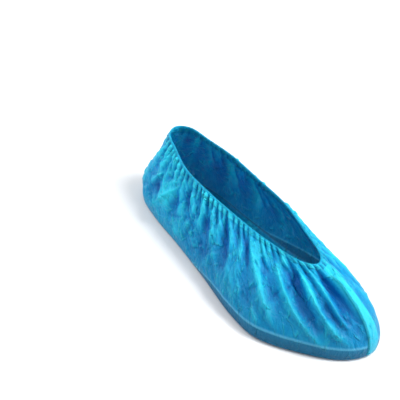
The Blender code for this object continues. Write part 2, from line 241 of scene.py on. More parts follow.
# The elastic's middle, below the rim and out from the wall, its half sizes that way, its flutter and its
# length round, which only its ribs go by.
ELASTIC_MIDDLE = (0.0010, -0.00042)
ELASTIC_HALF_SIZES = (0.0006, 0.00027)
ELASTIC_FLUTTER = 0.00005
ELASTIC_ROUND = 0.51

# The welds: rows and columns of their mesh, where they start below the rim, how much shorter than the
# wall they are, and their half width. They rise to a middle line, and pressed ribs cross them.
WELD_ROWS = 170
WELD_COLUMNS = 9
WELD_STARTS = 0.0060
WELD_SHORTER = 0.0065
WELD_HALF_WIDTH = 0.0012
WELD_BASE = 0.00006
WELD_RISE = 0.00020
WELD_RISE_WIDTH = 0.45
RIB_PITCH = 0.0016
RIB_HEIGHT = 0.00010
# Their tint: the relief it starts from, what a metre of a rib's height adds, as painted highlight on the
# ribs' tops and painted shade between them, and their share of the fall.
WELD_RELIEF = 0.85
RIB_PAINTED_SHADING = 1500
WELD_FALL = 0.8

FLOOR_HEIGHT = -0.0003
FLOOR_HALF_SIZE = 6.0
SKY_STRENGTH = 0.62
LIGHTS = [
    # name, place, size, power
    ("Key", (0.56, 0.52, 1.30), 0.6, 22.5),
    ("Fill", (-1.05, -0.70, 0.95), 0.9, 15.5),
    ("Edge", (0.9, 1.1, 0.55), 0.5, 8.0),
]


def size_setting(name, description, default):
    """A setting in metres."""
    return FloatProperty(name=name, description=description, default=default, unit="LENGTH", precision=5)


def colour_setting(name, where, default):
    """A colour setting, as an sRGB hex value."""
    return StringProperty(name=name, description=f"sRGB hex, {where}", default=default)


class FilmSettings(PropertyGroup):
    """The sizes and colours of the film."""

    sole_length: size_setting("Sole length", "Heel to toe", 0.310)
    ball_right: size_setting("Ball, right", "Right half width at the ball", 0.0656)
    ball_left: size_setting("Ball, left", "Left half width at the ball", 0.0596)
    toe_swing: size_setting("Toe swing", "How far the toe turns left", 0.0141)
    opening_length: size_setting("Opening length", "Heel to front", 0.2286)
    opening_half_width: size_setting("Opening half width", "At the sides", 0.030)
    rim_back_inset: size_setting("Rim back inset", "From the sole's heel", 0.0102)
    rim_toe: size_setting("Rim height, front", "Above the floor", 0.0616)
    rim_side: size_setting("Rim height, sides", "Above the floor", 0.0662)
    rim_heel: size_setting("Rim height, heel", "Above the floor", 0.0755)
    toe_box: size_setting("Toe box height", "Guide for the toe's arch", 0.0524)
    side_bulge: size_setting("Side bulge", "Past the sole", 0.0055)
    heel_bulge: size_setting("Heel bulge", "Past the sole", 0.0098)
    toe_bulge: size_setting("Toe bulge", "Past the sole", 0.0040)
    thickness: size_setting("Film", "Wall drawn", 0.00016)
    hem_width: size_setting("Hem width", "Rim to the hem's edge", 0.0070)
    gathers: IntProperty(name="Gathers", description="All round the hem", default=70)
    gather_depth: size_setting("Gather depth", "Half its height", 0.0015)
    fold_depth: size_setting("Fold depth", "Of a fold of depth 1", 0.0040)
    slack: FloatProperty(name="Slack", description="The film's extra length, as a share", default=0.018)
    columns: IntProperty(name="Columns", description="Mesh columns round the cover", default=456)
    rows: IntProperty(name="Rows", description="Mesh rows down the wall", default=84)
    # The valley colour is painted shade and the ridge colour a painted highlight.
    valley: colour_setting("Valley colour", "where the film lies deep", "#005ba2")
    flat: colour_setting("Film colour", "where the film lies flat", "#008fc6")
    ridge: colour_setting("Ridge colour", "on the folds' backs", "#2bcbe8")
    # The edge colour is partly a shoe's dark sole seen through the film and partly painted shade.
    band: colour_setting("Edge colour", "round the sole's edge", "#13567a")


class StageSettings(PropertyGroup):
    """The camera's place."""

    azimuth: FloatProperty(name="Azimuth", description="Degrees from the right side", default=48.67)
    elevation: FloatProperty(name="Elevation", description="Degrees above the floor", default=34.11)
    roll: FloatProperty(name="Roll", description="Degrees", default=9.995)
    lens: FloatProperty(name="Lens", description="Millimetres on a 36 mm sensor", default=110.5)
    origin_in_view: FloatVectorProperty(
        name="Origin in view",
        description="The origin's place in the camera's own axes",
        default=(0.04903, -0.06357, -1.1958),
    )


def smooth(value):
    """An eased step from 0 to 1."""
    value = np.clip(value, 0.0, 1.0)
    return value * value * (3.0 - 2.0 * value)


def rise_and_fade(value, start, rise, end, fade):
    """An eased rise to 1 from the start, and an eased fall to 0 from the end."""
    return smooth((value - start) / rise) * (1 - smooth((value - end) / fade))


def stretch(place, middle, reach, ramp):
    """1 on a stretch of the way round, eased to 0 at both of its ends."""
    return smooth((reach - abs(place - middle)) / ramp)


def sway(place, times, start=0.0):
    """A wave that goes up and down so many times on the way round."""
    return np.sin(2 * math.pi * times * place + start)


def linear(colour):
    """An sRGB hex value as linear red, green, blue and a full alpha."""
    parts = [int(colour[i : i + 2], 16) / 255 for i in (1, 3, 5)]
    return tuple(c / 12.92 if c <= 0.04045 else ((c + 0.055) / 1.055) ** 2.4 for c in parts) + (1.0,)


def closed_curve(points, count):
    """Points at equal steps along a smooth closed curve, half of them from the toe round to the heel."""
    points = np.array(points, float)
    size = len(points)
    curve = []
    for i in range(size):
        before, start, end, after = (points[(i + k) % size] for k in (-1, 0, 1, 2))
        steps = [np.linalg.norm(b - a) ** 0.5 for a, b in ((before, start), (start, end), (end, after))]
        t0, t1, t2, t3 = np.concatenate([[0.0], np.cumsum(steps)])
        for t in np.linspace(t1, t2, STATION_STEPS, endpoint=False):
            a1 = (before * (t1 - t) + start * (t - t0)) / (t1 - t0)
            a2 = (start * (t2 - t) + end * (t - t1)) / (t2 - t1)
            a3 = (end * (t3 - t) + after * (t - t2)) / (t3 - t2)
            b1 = (a1 * (t2 - t) + a2 * (t - t0)) / (t2 - t0)
            b2 = (a2 * (t3 - t) + a3 * (t - t1)) / (t3 - t1)
            curve.append((b1 * (t2 - t) + b2 * (t - t1)) / (t2 - t1))
    curve = np.array(curve)
    heel = size // 2 * STATION_STEPS
    found = []
    for half in (curve[: heel + 1], np.vstack([curve[heel:], curve[:1]])):
        lengths = np.concatenate([[0.0], np.cumsum(np.linalg.norm(np.diff(half, axis=0), axis=1))])
        wanted = np.arange(count // 2) / (count // 2) * lengths[-1]
        found.append(np.stack([np.interp(wanted, lengths, half[:, k]) for k in range(3)], axis=1))
    return np.vstack(found)


class Wall:
    """The cover's smooth wall, from the rim down to the sole's edge, in columns round it."""

    def __init__(self, film):
        self.film = film
        self.count = film.columns
        self.place = np.arange(self.count) / self.count
        rim = self.rim()
        self.points = self.curves(rim, self.sole())
        steps = np.linalg.norm(np.diff(self.points, axis=1), axis=2)
        self.down = np.concatenate([np.zeros((self.count, 1)), np.cumsum(steps, axis=1)], axis=1)
        self.length = self.down[:, -1]
        around = np.roll(self.points, -1, axis=0) - np.roll(self.points, 1, axis=0)
        normals = np.cross(np.gradient(self.points, axis=1), around)
        normals /= np.linalg.norm(normals, axis=2)[:, :, None]
        middle = self.points.mean(axis=(0, 1))
        self.normals = normals * np.sign(np.sum(normals * (self.points - middle)))
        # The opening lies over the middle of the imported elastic.
        low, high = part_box("elastic_band")
        flat = rim[:, :2]
        rim_middle = (flat.min(0) + flat.max(0)) / 2
        self.shift = np.array([*((low + high) / 2)[:2], 0.0]) - np.array([*rim_middle, 0.0])
        self.creases = self.strewn_creases()
        self.tuck_height, self.tuck_reach = self.uneven_tucks()

    def curves(self, rim, sole):
        """The columns' points, [column, row], which bulge past the sole and arch over the toe."""
        film = self.film
        ahead = np.roll(sole, -1, axis=0) - np.roll(sole, 1, axis=0)
        outward = np.stack([ahead[:, 1], -ahead[:, 0], 0 * ahead[:, 0]], axis=1)
        outward /= np.linalg.norm(outward, axis=1)[:, None]
        outward *= np.sign(np.sum(outward * (sole - sole.mean(axis=0))))
        toe = smooth(1 - np.minimum(self.place, 1 - self.place) / TOE_SPAN)[:, None]
        heel = smooth(1 - abs(self.place - 0.5) / HEEL_SPAN)[:, None]
        up = np.array([[0.0, 0.0, 1.0]])
        bulge = film.side_bulge * (1 - toe - heel) + film.heel_bulge * heel + film.toe_bulge * toe
        lower = sole + outward * bulge + up * LOWER_RISE * (1 + LOWER_EXTRA_AT_TOE * toe)
        upper = rim + (sole - rim) * UPPER_SHARE + up * UPPER_RISE
        over_toe = rim + (sole - rim) * np.array([UPPER_SHARE_AT_TOE])
        over_toe[:, 2] = film.toe_box
        upper = upper * (1 - toe) + over_toe * toe
        t = np.linspace(0, 1, WALL_STEPS)[None, :, None]
        r, u, l, s = (p[:, None, :] for p in (rim, upper, lower, sole))
        return (1 - t) ** 3 * r + 3 * (1 - t) ** 2 * t * u + 3 * (1 - t) * t**2 * l + t**3 * s

    def uneven_tucks(self):
        """How high each column's gather stands, as a share, and how far down it reaches, in metres."""
        gathers = self.film.gathers
        turns = self.phase() / (2 * math.pi)
        random = np.random.default_rng(7)
        heights = random.uniform(*TUCK_HEIGHTS, gathers)
        reaches = random.uniform(*TUCK_REACHES, gathers)
        reach = np.interp(turns, np.arange(gathers) + 0.5, reaches, period=gathers)
        return heights[np.floor(turns).astype(int) % gathers], reach

    def strewn_creases(self):
        """Each crease's place, share down, lean, width and reach, all as shares, and depth in metres."""
        random = np.random.default_rng(11)
        groups = []
        for number, places, width, reach, lean, depth in CREASES:
            group = [
                random.uniform(*places, number),
                random.uniform(*CREASES_DOWN, number),
                random.uniform(-lean, lean, number) * WALL_DOWN / WALL_ROUND,
                random.uniform(*width, number) / WALL_ROUND,
                random.uniform(*reach, number) / WALL_DOWN,
                random.uniform(*depth, number) * random.choice([-1.0, 1.0], number),
            ]
            groups.append(np.stack(group))
        return np.concatenate(groups, axis=1)

    def sole(self):
        """The line where the walls meet the sole, from the toe by the right side to the heel and back."""
        film, half = self.film, self.film.sole_length / 2

        def point(along, width):
            swing = film.toe_swing * max(0.0, (along - SWING_STARTS) / (1 - SWING_STARTS))
            return (along * film.sole_length - half, width + swing, SOLE_EDGE_HEIGHT)

        right = [point(along, -share * film.ball_right) for along, share, _ in SOLE_STATIONS]
        left = [point(along, share * film.ball_left) for along, _, share in SOLE_STATIONS]
        return closed_curve([point(1.0, 0.0)] + right + [point(0.0, 0.0)] + left[::-1], self.count)

    def rim(self):
        """The opening's edge, in the same order."""
        film = self.film
        back = film.rim_back_inset - film.sole_length / 2

        def point(along, width, toe, heel):
            height = film.rim_side * (1 - toe - heel) + film.rim_toe * toe + film.rim_heel * heel
            return (back + along * film.opening_length, width * film.opening_half_width, height)

        right = [point(along, -width, toe, heel) for along, width, toe, heel in RIM_STATIONS]
        left = [point(along, width, toe, heel) for along, width, toe, heel in RIM_STATIONS]
        front, heel_end = point(1.0, 0.0, 1.0, 0.0), point(0.0, 0.0, 0.0, 1.0)
        return closed_curve([front] + right + [heel_end] + left[::-1], self.count)

    def at(self, distances, offset=0.0):
        """The wall's points, [column], at a distance down from the rim, with an offset outwards from it."""
        distances = np.broadcast_to(distances, (self.count,))
        base, normal = np.empty((self.count, 3)), np.empty((self.count, 3))
        for k in range(self.count):
            for axis in range(3):
                base[k, axis] = np.interp(distances[k], self.down[k], self.points[k, :, axis])
                normal[k, axis] = np.interp(distances[k], self.down[k], self.normals[k, :, axis])
        normal /= np.linalg.norm(normal, axis=1)[:, None]
        above = np.minimum(distances, 0.0)[:, None]
        first = self.points[:, 1] - self.points[:, 0]
        base = base + first / np.linalg.norm(first, axis=1)[:, None] * above
        return base + normal * np.reshape(offset, (-1, 1)) + self.shift

    def phase(self):
        """The gathers' phase round the rim, with an uneven pitch that still closes at the welds."""
        turns = self.place
        for shift, times in PITCH_SHIFTS:
            turns = turns + shift * sway(self.place, times)
        return 2 * math.pi * self.film.gathers * turns

    def gather(self, distance):
        """How far the gathers lift the film at this distance below the rim.

        Fine tucks at the hem join into pairs further down, and the pairs into broad waves.
        """
        film, place, phase = self.film, self.place, self.phase()
        # The tucks' height sways round the rim and is least at the toe.
        height = 1.15 + 0.30 * sway(place, 11, 1.0) + 0.22 * sway(place, 23, 2.0)
        height = height - 0.35 * np.cos(2 * math.pi * place)
        height = height * (1 - 0.55 * stretch(place, *FLATTER_TUCKS))
        fine = rise_and_fade(distance, TUCK_STARTS, film.hem_width * 0.45, self.tuck_reach, TUCK_FADE)
        tuck = 2.0 * self.tuck_height * abs(np.sin(phase / 2)) - 1.0
        pair = np.cos(phase / 2 + 0.8 * sway(place, 5))
        broad = 0.9 * np.cos(phase / 4 + 1.2 * sway(place, 3, 0.5))
        wave = height * tuck * fine
        wave = wave + pair * rise_and_fade(distance, *PAIRS)
        wave = wave + broad * rise_and_fade(distance, *BROAD_WAVES)
        return film.gather_depth * wave

    def fold(self, share):
        """How far the long folds lift the film at this share of the way down.

        The ridges are sharp and the valleys are round.
        """
        lift = np.zeros(self.count)
        for place, slant, curl, width, depth, start, peak, end in FOLDS:
            off = abs(self.place - place - slant * share - curl * share**4)
            off = np.minimum(off, 1 - off) / width
            across = np.exp(-RIDGE_BEND * off) if depth > 0 else np.exp(-VALLEY_BEND * off**3)
            foot = 1 - smooth((share - peak) / (end - peak)) ** 3
            lift += depth * across * smooth((share - start) / (peak - start)) * foot
        return self.film.fold_depth * lift

    def crumple(self, share):
        """How far the small creases lift the film at this share of the way down."""
        place, middle, lean, width, reach, depth = self.creases[:, None, :]
        share = np.reshape(share, (-1, 1))
        off = self.place[:, None] - place - lean * (share - middle)
        off = abs((off + 0.5) % 1.0 - 0.5) / width
        along = np.maximum(0.0, 1 - (2 * (share - middle) / reach) ** 2)
        lift = (depth * np.exp(-CREASE_BEND * off) * along).sum(axis=1)
        share = share[:, 0]
        # They fade out towards the hem and towards the sole's edge.
        return lift * smooth((share - 0.05) / 0.12) * smooth((0.93 - share) / 0.10)

    def lift(self, distance):
        """How far the film stands off the smooth wall at this distance below the rim, for each column."""
        share = distance / self.length
        fade = np.minimum(1.0, (1 - share) * 4)
        return self.gather(distance) * fade + self.fold(share) + self.crumple(share)


def finish_piece(bm, name, material, nodes, thickness=0.0, offset=0.0):
    """The bmesh as a shown piece of film or thread that rides on the root and stands for CAD nodes."""
    bmesh.ops.recalc_face_normals(bm, faces=bm.faces)
    mesh = bpy.data.meshes.new(name)
    bm.to_mesh(mesh)
    bm.free()
    mesh.materials.append(material)
    mesh.shade_smooth()
    obj = bpy.data.objects.new(name, mesh)
    bpy.context.scene.collection.objects.link(obj)
    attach(obj, "root")
    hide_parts(*nodes)
    if thickness:
        modifier = obj.modifiers.new("Film", "SOLIDIFY")
        modifier.thickness = thickness
        modifier.offset = offset


def node(tree, kind, settings=None, links=None, stops=None):
    """A node with its settings (lower case), socket values (capitals or numbers), links and ramp stops."""
    made = tree.nodes.new(kind)
    for key, value in (settings or {}).items():
        if isinstance(key, str) and key[0].islower():
            setattr(made, key, value)
        else:
            made.inputs[key].default_value = value
    for key, source in (links or {}).items():
        tree.links.new(source, made.inputs[key])
    for number, (place, colour) in enumerate(stops or ()):
        if number >= len(made.color_ramp.elements):
            made.color_ramp.elements.new(place)
        made.color_ramp.elements[number].position = place
        made.color_ramp.elements[number].color = colour
    return made


def new_material(name):
    """A new material, with its node tree and its shader."""
    material = bpy.data.materials.new(name)
    material.use_nodes = True
    return material, material.node_tree, material.node_tree.nodes["Principled BSDF"]


def grey(value):
    """A ramp stop's colour for a plain number."""
    return (value, value, value, 1.0)


def film_material(film, name, lighter=0.0):
    """Blown polyethylene film, tinted through and lightly embossed.

    It is thin and slack, so it crinkles into small facets, painted bright and dark in its tint as painted
    highlight and shade. It is painted pale and cyan on the backs of folds, as a painted highlight where it
    catches the light, and deep blue where it lies in, as painted shade. Its sheen is soft and broken.
    """
    material, tree, shader = new_material(name)
    shading_relief = node(tree, "ShaderNodeAttribute", {"attribute_name": "shading_relief"}).outputs["Fac"]
    fall = node(tree, "ShaderNodeAttribute", {"attribute_name": "fall"}).outputs["Fac"]
    object_place = node(tree, "ShaderNodeTexCoord").outputs["Object"]
    sheet = node(tree, "ShaderNodeUVMap", {"uv_map": "sheet"}).outputs["UV"]

    # Crinkles of the slack film: about 4 mm across and 9 mm along, as they hang from the gathers.
    strip = node(
        tree,
        "ShaderNodeMapping",
        {"Scale": (WALL_ROUND / 0.004, WALL_DOWN / 0.009, 1.0)},
        {"Vector": sheet},
    ).outputs[0]
    crinkle = node(
        tree,
        "ShaderNodeTexNoise",
        {"Scale": 1.0, "Detail": 5.0, "Roughness": 0.60, "Distortion": 1.1},
        {"Vector": strip},
    ).outputs["Fac"]
    # Facets between sharp creases, about 9 mm across and 15 mm along.
    facet_place = node(
        tree,
        "ShaderNodeMapping",
        {"Scale": (WALL_ROUND / 0.009, WALL_DOWN / 0.015, 1.0)},
        {"Vector": sheet},
    ).outputs[0]
    bend = node(
        tree,
        "ShaderNodeTexNoise",
        {"Scale": 1.7, "Detail": 2.0},
        {"Vector": facet_place},
    ).outputs["Color"]
    bent = node(
        tree,
        "ShaderNodeVectorMath",
        {"operation": "MULTIPLY_ADD", 1: (0.9, 0.9, 0.0)},
        {0: bend, 2: facet_place},
    ).outputs[0]
    facet = node(
        tree,
        "ShaderNodeTexVoronoi",
        {"feature": "DISTANCE_TO_EDGE", "Scale": 1.0},
        {"Vector": bent},
    ).outputs["Distance"]
    line = node(
        tree,
        "ShaderNodeMapRange",
        {"From Min": 0.0, "From Max": 0.10, "To Min": 1.0, "To Max": 0.0},
        {"Value": facet},
    ).outputs[0]
    # Only some of the creases are sharp, and they run out along their length.
    sharp = node(
        tree,
        "ShaderNodeMapRange",
        {"From Min": 0.47, "From Max": 0.60, "To Min": 0.0, "To Max": 1.0},
        {"Value": bend},
    ).outputs[0]
    crease = node(tree, "ShaderNodeMath", {"operation": "MULTIPLY"}, {0: line, 1: sharp}).outputs[0]
    # The embossing is a 0.6 mm lozenge, drawn at 2 mm because it would not show at its own size.
    emboss = node(
        tree,
        "ShaderNodeTexNoise",
        {"Scale": 1 / 0.0020, "Detail": 2.0, "Roughness": 0.6},
        {"Vector": object_place},
    ).outputs["Fac"]

    # The tint is painted shade and highlight. It follows the folds, painted deep blue in their valleys and
    # pale on their backs, and it is broken up by the crinkles, the sharp creases and the embossing, painted
    # as the light and shade of their small facets, with the creases as thin painted highlights.
    broken = shading_relief
    for pattern, share in ((crinkle, 0.34), (crease, 0.34), (emboss, 0.26)):
        broken = node(
            tree,
            "ShaderNodeMath",
            {"operation": "MULTIPLY_ADD", 1: share},
            {0: pattern, 2: broken},
        ).outputs[0]
    painted_shading_place = node(
        tree,
        "ShaderNodeMath",
        {"operation": "ADD", 1: lighter - 0.32},
        {0: broken},
    ).outputs[0]
    # Valley colour as painted shade, film colour where flat, ridge colour as painted highlight.
    tint = node(
        tree,
        "ShaderNodeValToRGB",
        None,
        {"Fac": painted_shading_place},
        [(0.08, linear(film.valley)), (0.45, linear(film.flat)), (0.88, linear(film.ridge))],
    ).outputs["Color"]
    # Down the wall the film is painted darker, as painted shade. Round the sole's edge it is painted darker
    # still, partly as a shoe's dark sole seen through the film and partly as painted shade, below a pale
    # line, a painted highlight where it leaves the edge. The ramps run to 1.25 times the way down, so that
    # they reach past the edge to the underside.
    edge_place = node(tree, "ShaderNodeMath", {"operation": "MULTIPLY", 1: 0.8}, {0: fall}).outputs[0]
    sole_edge_shade_and_highlight_share = node(
        tree,
        "ShaderNodeValToRGB",
        None,
        {"Fac": edge_place},
        [
            (0.26, grey(0.0)),
            (0.60, grey(0.50)),
            (0.712, grey(0.50)),
            (0.720, grey(0.68)),
            (0.730, grey(0.84)),
            (0.80, grey(0.92)),
            (0.84, grey(0.10)),
        ],
    ).outputs["Color"]
    sole_edge_shade_and_highlight = node(
        tree,
        "ShaderNodeValToRGB",
        None,
        {"Fac": edge_place},
        [
            (0.26, linear("#0d76a2")),
            (0.700, linear("#0f6a94")),
            (0.714, linear("#5fa9c6")),
            (0.720, linear("#58a2c0")),
            (0.730, linear("#1c6285")),
            (0.80, linear(film.band)),
        ],
    ).outputs["Color"]
    mixed = node(tree, "ShaderNodeMix", {"data_type": "RGBA"}, {0: sole_edge_shade_and_highlight_share, 6: tint, 7: sole_edge_shade_and_highlight})
    tree.links.new(mixed.outputs[2], shader.inputs["Base Color"])

    # A soft sheen, broken by the crinkles.
    roughness = node(
        tree,
        "ShaderNodeMapRange",
        {"From Min": 0.3, "From Max": 0.7, "To Min": 0.24, "To Max": 0.44},
        {"Value": crinkle},
    ).outputs[0]
    tree.links.new(roughness, shader.inputs["Roughness"])
    # Each bump lies on the one before it.
    below = {}
    for pattern, strength, depth in ((crinkle, 1.0, 0.0016), (crease, 1.0, 0.0012), (emboss, 0.8, 0.0004)):
        bump = node(
            tree,
            "ShaderNodeBump",
            {"Strength": strength, "Distance": depth},
            {"Height": pattern, **below},
        ).outputs[0]
        below = {"Normal": bump}
    tree.links.new(bump, shader.inputs["Normal"])
    shader.inputs["IOR"].default_value = 1.51
    shader.inputs["Specular IOR Level"].default_value = 0.13
    shader.inputs["Subsurface Weight"].default_value = 0.2
    shader.inputs["Subsurface Radius"].default_value = (0.2, 0.8, 1.0)
    shader.inputs["Subsurface Scale"].default_value = 0.001
    shader.inputs["Alpha"].default_value = 0.94
    return material


def elastic_material():
    """Covered elastic thread: matt, pale, with the cover's turns showing as a fine slanting rib."""
    material, tree, shader = new_material("Covered elastic thread")
    sheet = node(tree, "ShaderNodeUVMap", {"uv_map": "sheet"}).outputs["UV"]
    # The cover's turns are 0.4 mm apart. They are drawn 1.2 mm apart to show.
    strip = node(
        tree,
        "ShaderNodeMapping",
        {"Scale": (ELASTIC_ROUND / 0.0012, 2.0, 1.0)},
        {"Vector": sheet},
    ).outputs[0]
    turns = node(
        tree,
        "ShaderNodeTexWave",
        {"bands_direction": "DIAGONAL", "Scale": 0.5, "Distortion": 0.4},
        {"Vector": strip},
    ).outputs["Fac"]
    stops = [(0.2, linear("#7fc4dd")), (0.8, linear("#b9e3f0"))]
    tint = node(tree, "ShaderNodeValToRGB", None, {"Fac": turns}, stops).outputs["Color"]
    tree.links.new(tint, shader.inputs["Base Color"])
    bump = node(tree, "ShaderNodeBump", {"Strength": 0.5, "Distance": 0.0002}, {"Height": turns}).outputs[0]
    tree.links.new(bump, shader.inputs["Normal"])
    shader.inputs["Roughness"].default_value = 0.72
    return material


def sheet_grid(columns, rows):
    """A flat grid of the sheet. Its points keep their column and row, and its two ends meet."""
    bm = bmesh.new()
    bm.loops.layers.uv.new("sheet")
    bmesh.ops.create_grid(bm, x_segments=columns, y_segments=rows - 1, size=0.5, calc_uvs=True)
    column = bm.verts.layers.int.new("column")
    row = bm.verts.layers.int.new("row")
    for vert in bm.verts:
        vert[column] = round((vert.co.x + 0.5) * columns) % columns
        vert[row] = round((0.5 - vert.co.y) * (rows - 1))
    return bm, column, row


def shaped_sheet(points, shading_relief=None, fall=None):
    """A sheet with its points at [column, row], and how high and how far down the film lies there, which
    set its painted shade and highlights and its painted dark edge.
    """
    columns, rows = points.shape[:2]
    bm, column, row = sheet_grid(columns, rows)
    high = bm.verts.layers.float.new("shading_relief")
    down = bm.verts.layers.float.new("fall")
    for vert in bm.verts:
        k, j = vert[column], vert[row]
        vert.co = points[k, j]
        vert[high] = 0.5 if shading_relief is None else shading_relief[k, j]
        vert[down] = 0.0 if fall is None else fall[k, j]
    bmesh.ops.remove_doubles(bm, verts=bm.verts, dist=1e-7)
    return bm


def film_distance(wall, length, row):
    """How far below the rim a row of the film's mesh lies, where the wall has this length."""
    return FILM_STARTS + (length - FILM_STARTS) * (row / (wall.film.rows - 1)) ** ROW_CROWDING


def film_form(wall):
    """The film's points at [column, row], with its relief from 0 to 1, which sets its painted shade and
    highlights, and its share of the way down, which sets its painted dark edge.
    """
    size = wall.count, wall.film.rows
    points, shading_relief, fall = np.empty((*size, 3)), np.empty(size), np.empty(size)
    lap = smooth((wall.place - LAP_STARTS) / LAP_RAMP)
    painted_light_and_shade = stretch(wall.place, *PAINTED_LIGHT_STRETCH) - 0.5 * stretch(wall.place, *PAINTED_SHADE_STRETCH)
    behind = smooth((np.minimum(wall.place, 1 - wall.place) - EDGE_FADES) / EDGE_RAMP)
    for j in range(wall.film.rows):
        distance = film_distance(wall, wall.length, j)
        share = distance / wall.length
        points[:, j] = wall.at(distance, wall.lift(distance) + LAP_HEIGHT * lap * smooth(j / 6))
        # A relief of 0.5 is flat, and the back of a fold of depth 1 adds as much again. It sets the painted
        # tint: painted highlight on the backs of folds, gathers and creases and painted shade in their
        # valleys, with the lap and the stretches of painted light and shade added.
        high = wall.gather(distance) + wall.fold(share) + 1.1 * wall.crumple(share)
        shading_relief[:, j] = 0.5 + high / (2 * wall.film.fold_depth) + LAP_DOUBLED_AND_HIGHLIGHT * lap + 0.10 * painted_light_and_shade
        fall[:, j] = share * (1 - EDGE_FADE * np.maximum(lap, behind))
    return points, shading_relief, fall


class SHOECOVER_OT_film(Operator):
    """Builds the walls and the sole from one sheet of film"""

    bl_idname = "shoe_cover.film"
    bl_label = "Film"

    def execute(self, context):
        film = context.scene.shoe_cover_film
        wall = Wall(film)
        points, shading_relief, fall = film_form(wall)
        points = settle(wall, points)
        bm = shaped_sheet(points, shading_relief, fall)
        add_sole(bm)
        material = film_material(film, "Blown polyethylene film")
        finish_piece(bm, "film_cover", material, ["film_body"], film.thickness, -1)
        return {"FINISHED"}


def add_sole(bm):
    """Takes the film in under the foot, in rings that narrow to the middle line, and closes it."""
    row = bm.verts.layers.int["row"]
    down = bm.verts.layers.float["fall"]
    last = max(vert[row] for vert in bm.verts)
    edges = [e for e in bm.edges if e.is_boundary and all(v[row] == last for v in e.verts)]
    places = [v.co.x for e in edges for v in e.verts]
    low, high = min(places) + MIDDLE_FROM_HEEL, max(places) - MIDDLE_FROM_TOE
    sheet = bm.loops.layers.uv["sheet"]
    left = 1.0
    faces = []
    for inward, height in SOLE_RINGS:
        made = bmesh.ops.extrude_edge_only(bm, edges=edges)["geom"]
        edges = [g for g in made if isinstance(g, bmesh.types.BMEdge) and g.is_boundary]
        faces += [g for g in made if isinstance(g, bmesh.types.BMFace)]
        for vert in {v for e in edges for v in e.verts}:
            middle = Vector((min(max(vert.co.x, low), high), MIDDLE_ACROSS, 0.0))
            place = vert.co.lerp(middle, 1 - (1 - inward) / left)
            vert.co = (place.x, place.y, height)
            vert[down] = 1.0 + inward
        left = 1 - inward
    faces += bmesh.ops.holes_fill(bm, edges=edges, sides=0)["faces"]
    for loop in (loop for face in faces for loop in face.loops):
        loop[sheet].uv = (loop.vert.co.x / WALL_ROUND, loop.vert.co.y / WALL_DOWN)


def settle(wall, points):
    """The film after a short cloth simulation, held at its hem, its two welds and the sole's edge.

    The cloth is a little longer than its form and only loosely tied to it, so it buckles into small
    crinkles of its own between the gathers and along the folds, and the folds' backs soften.
    """
    columns, rows = points.shape[:2]
    bm = shaped_sheet(points)
    bmesh.ops.recalc_face_normals(bm, faces=bm.faces)
    mesh = bpy.data.meshes.new("settling")
    bm.to_mesh(mesh)
    bm.free()
    sheet = bpy.data.objects.new("settling", mesh)
    bpy.context.scene.collection.objects.link(sheet)
    size = len(mesh.vertices)
    column, row = np.empty(size, np.int32), np.empty(size, np.int32)
    mesh.attributes["column"].data.foreach_get("value", column)
    mesh.attributes["row"].data.foreach_get("value", row)

    sheet.shape_key_add(name="Basis")
    longer = sheet.shape_key_add(name="Longer")
    longer.data.foreach_set("co", (points[column, row] * (1 + wall.film.slack)).astype(np.float32).ravel())

    # Held are the hem, the columns at the welds and beside them, and the last rows.
    distance = film_distance(wall, wall.length[column], row)
    weld = np.minimum(np.minimum(column, columns - column), abs(column - columns // 2)) < 2
    held = (distance < wall.film.hem_width) | (row >= rows - 3) | weld
    group = sheet.vertex_groups.new(name="held")
    group.add(np.nonzero(~held)[0].tolist(), SETTLING_HOLD, "REPLACE")
    group.add(np.nonzero(held)[0].tolist(), 1.0, "REPLACE")
    cloth = sheet.modifiers.new("Cloth", "CLOTH").settings
    cloth.quality = 5
    cloth.mass = 0.02
    cloth.tension_stiffness = 20
    cloth.compression_stiffness = 20
    cloth.shear_stiffness = 6
    cloth.bending_model = "ANGULAR"
    cloth.bending_stiffness = 0.02
    cloth.tension_damping = cloth.compression_damping = 5
    cloth.shear_damping = 3
    cloth.bending_damping = 0.5
    cloth.air_damping = 1.5
    cloth.vertex_group_mass = "held"
    cloth.rest_shape_key = longer
    cloth.effector_weights.gravity = 0.0
    for frame_number in range(1, SETTLING_FRAMES + 1):
        bpy.context.scene.frame_set(frame_number)
    graph = bpy.context.evaluated_depsgraph_get()
    moved = np.empty(size * 3, np.float32)
    sheet.evaluated_get(graph).data.vertices.foreach_get("co", moved)
    bpy.context.scene.frame_set(1)
    bpy.data.objects.remove(sheet)
    step = np.zeros_like(points)
    step[column, row] = moved.reshape(-1, 3) - points[column, row]
    for _ in range(SETTLING_PASSES):
        step = (np.roll(step, 1, axis=0) + 2 * step + np.roll(step, -1, axis=0)) / 4
        step[:, 1:-1] = (step[:, :-2] + 2 * step[:, 1:-1] + step[:, 2:]) / 4
    step[column[held], row[held]] = 0.0
    length = np.maximum(np.linalg.norm(step, axis=2), 1e-9)[:, :, None]
    return points + step * np.minimum(1.0, SETTLING_LIMIT / length)


